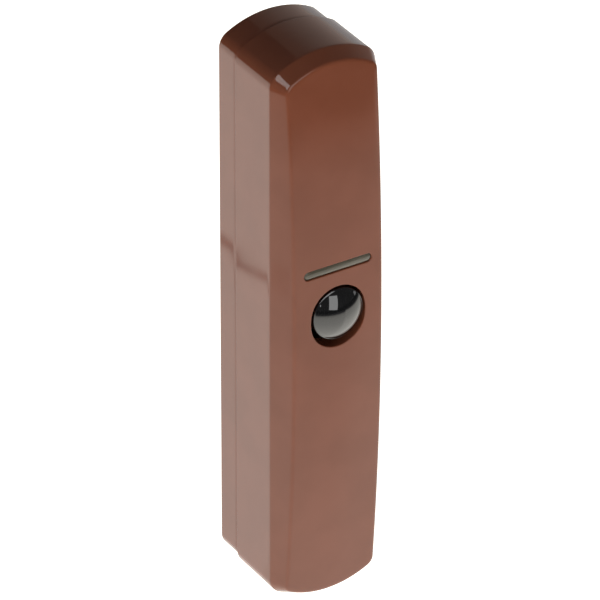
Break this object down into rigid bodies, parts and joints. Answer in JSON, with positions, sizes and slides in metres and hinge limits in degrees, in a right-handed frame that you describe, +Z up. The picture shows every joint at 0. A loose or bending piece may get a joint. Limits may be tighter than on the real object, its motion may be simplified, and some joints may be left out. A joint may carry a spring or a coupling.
{
  "type": "door contact sensor",
  "caption": "Slim arched wall housing for an opening and curtain detector, with a swing-off bowed front cover, light slot, round dome lens, board, cell and tamper.",
  "frame": {"origin": "middle of the flat back face, on the wall plane", "axes": "+Y into the wall, -Y out of the bowed front, +Z up along the housing, +X to the right seen from the front"},
  "size_m": [0.0248, 0.0303, 0.1288],
  "materials": {
    "housing_brown": "satin moulded ABS, brown",
    "smoke_clear": "smoky clear polycarbonate",
    "lens_black": "glossy black, passes heat",
    "black_moulding": "matt black moulding",
    "white_moulding": "white acetal",
    "red_moulding": "red moulding",
    "sensor_metal": "nickel-plated can",
    "sensor_window": "dark filter window",
    "gold_plate": "gold-plated",
    "board_green": "solder mask over glass laminate",
    "chip_epoxy": "moulded epoxy",
    "tinned_metal": "bright tin",
    "steel": "zinc-plated steel",
    "spring_steel": "nickel-plated spring wire",
    "capacitor_can": "bare aluminium can",
    "reed_glass": "pale green glass",
    "led_clear": "clear epoxy over phosphor",
    "chip_tan": "ceramic chip",
    "cell_sleeve": "plain shrink sleeve"
  },
  "bodies": {
    "base": {"rear_base": "housing_brown", "pir_lens": "lens_black", "sensor_holder": "black_moulding", "pyro_can": "sensor_metal", "pyro_window": "sensor_window", "pyro_leads": "gold_plate", "main_board": "board_green", "indicator_leds": "led_clear", "microcontroller": "chip_epoxy", "microcontroller_leads": "tinned_metal", "crystal": "sensor_metal", "radio_board": "board_green", "radio_shield": "tinned_metal", "antenna_wire": "gold_plate", "reed_glass": "reed_glass", "reed_leads": "tinned_metal", "reservoir_capacitor": "capacitor_can", "capacitor_base": "black_moulding", "learn_switch": "black_moulding", "mode_switch": "red_moulding", "tamper_switch": "black_moulding", "tamper_spring": "spring_steel", "board_screws": "steel", "cover_screw": "steel", "battery_cell": "tinned_metal", "battery_sleeve": "cell_sleeve", "battery_cap": "tinned_metal", "positive_contact": "spring_steel", "negative_spring": "spring_steel", "negative_contact": "spring_steel", "chip_capacitors": "chip_tan", "chip_resistors": "chip_epoxy"},
    "cover": {"front_cover": "housing_brown", "light_guide": "smoke_clear"},
    "tamper_pin": {"tamper_plunger": "white_moulding"},
    "learn_key": {"learn_button": "white_moulding"},
    "mode_tab_1": {"mode_slider_1": "white_moulding"},
    "mode_tab_2": {"mode_slider_2": "white_moulding"},
    "contact_blade": {"reed_blade": "tinned_metal"}
  },
  "joints": [
    {"name": "cover_swing", "type": "hinge", "parent": "base", "child": "cover", "pos_m": [0, -0.0073, 0.0644], "axis": [-1, 0, 0], "range_deg": [0, 75]},
    {"name": "tamper_press", "type": "slide", "parent": "base", "child": "tamper_pin", "axis": [0, -1, 0], "range_m": [0, 0.0015], "stiffness_N_per_m": 200, "springref_m": -0.001, "deforming": ["tamper_spring"]},
    {"name": "learn_press", "type": "slide", "parent": "base", "child": "learn_key", "axis": [0, 1, 0], "range_m": [0, 0.00025], "stiffness_N_per_m": 1500, "springref_m": -0.0003},
    {"name": "mode_slide_1", "type": "slide", "parent": "base", "child": "mode_tab_1", "axis": [1, 0, 0], "range_m": [0, 0.0016]},
    {"name": "mode_slide_2", "type": "slide", "parent": "base", "child": "mode_tab_2", "axis": [1, 0, 0], "range_m": [0, 0.0016]},
    {"name": "reed_close", "type": "hinge", "parent": "base", "child": "contact_blade", "pos_m": [-0.0073, -0.01198, 0.0354], "axis": [1, 0, 0], "range_deg": [0, 1.6], "stiffness_Nm_per_rad": 0.009}
  ]
}
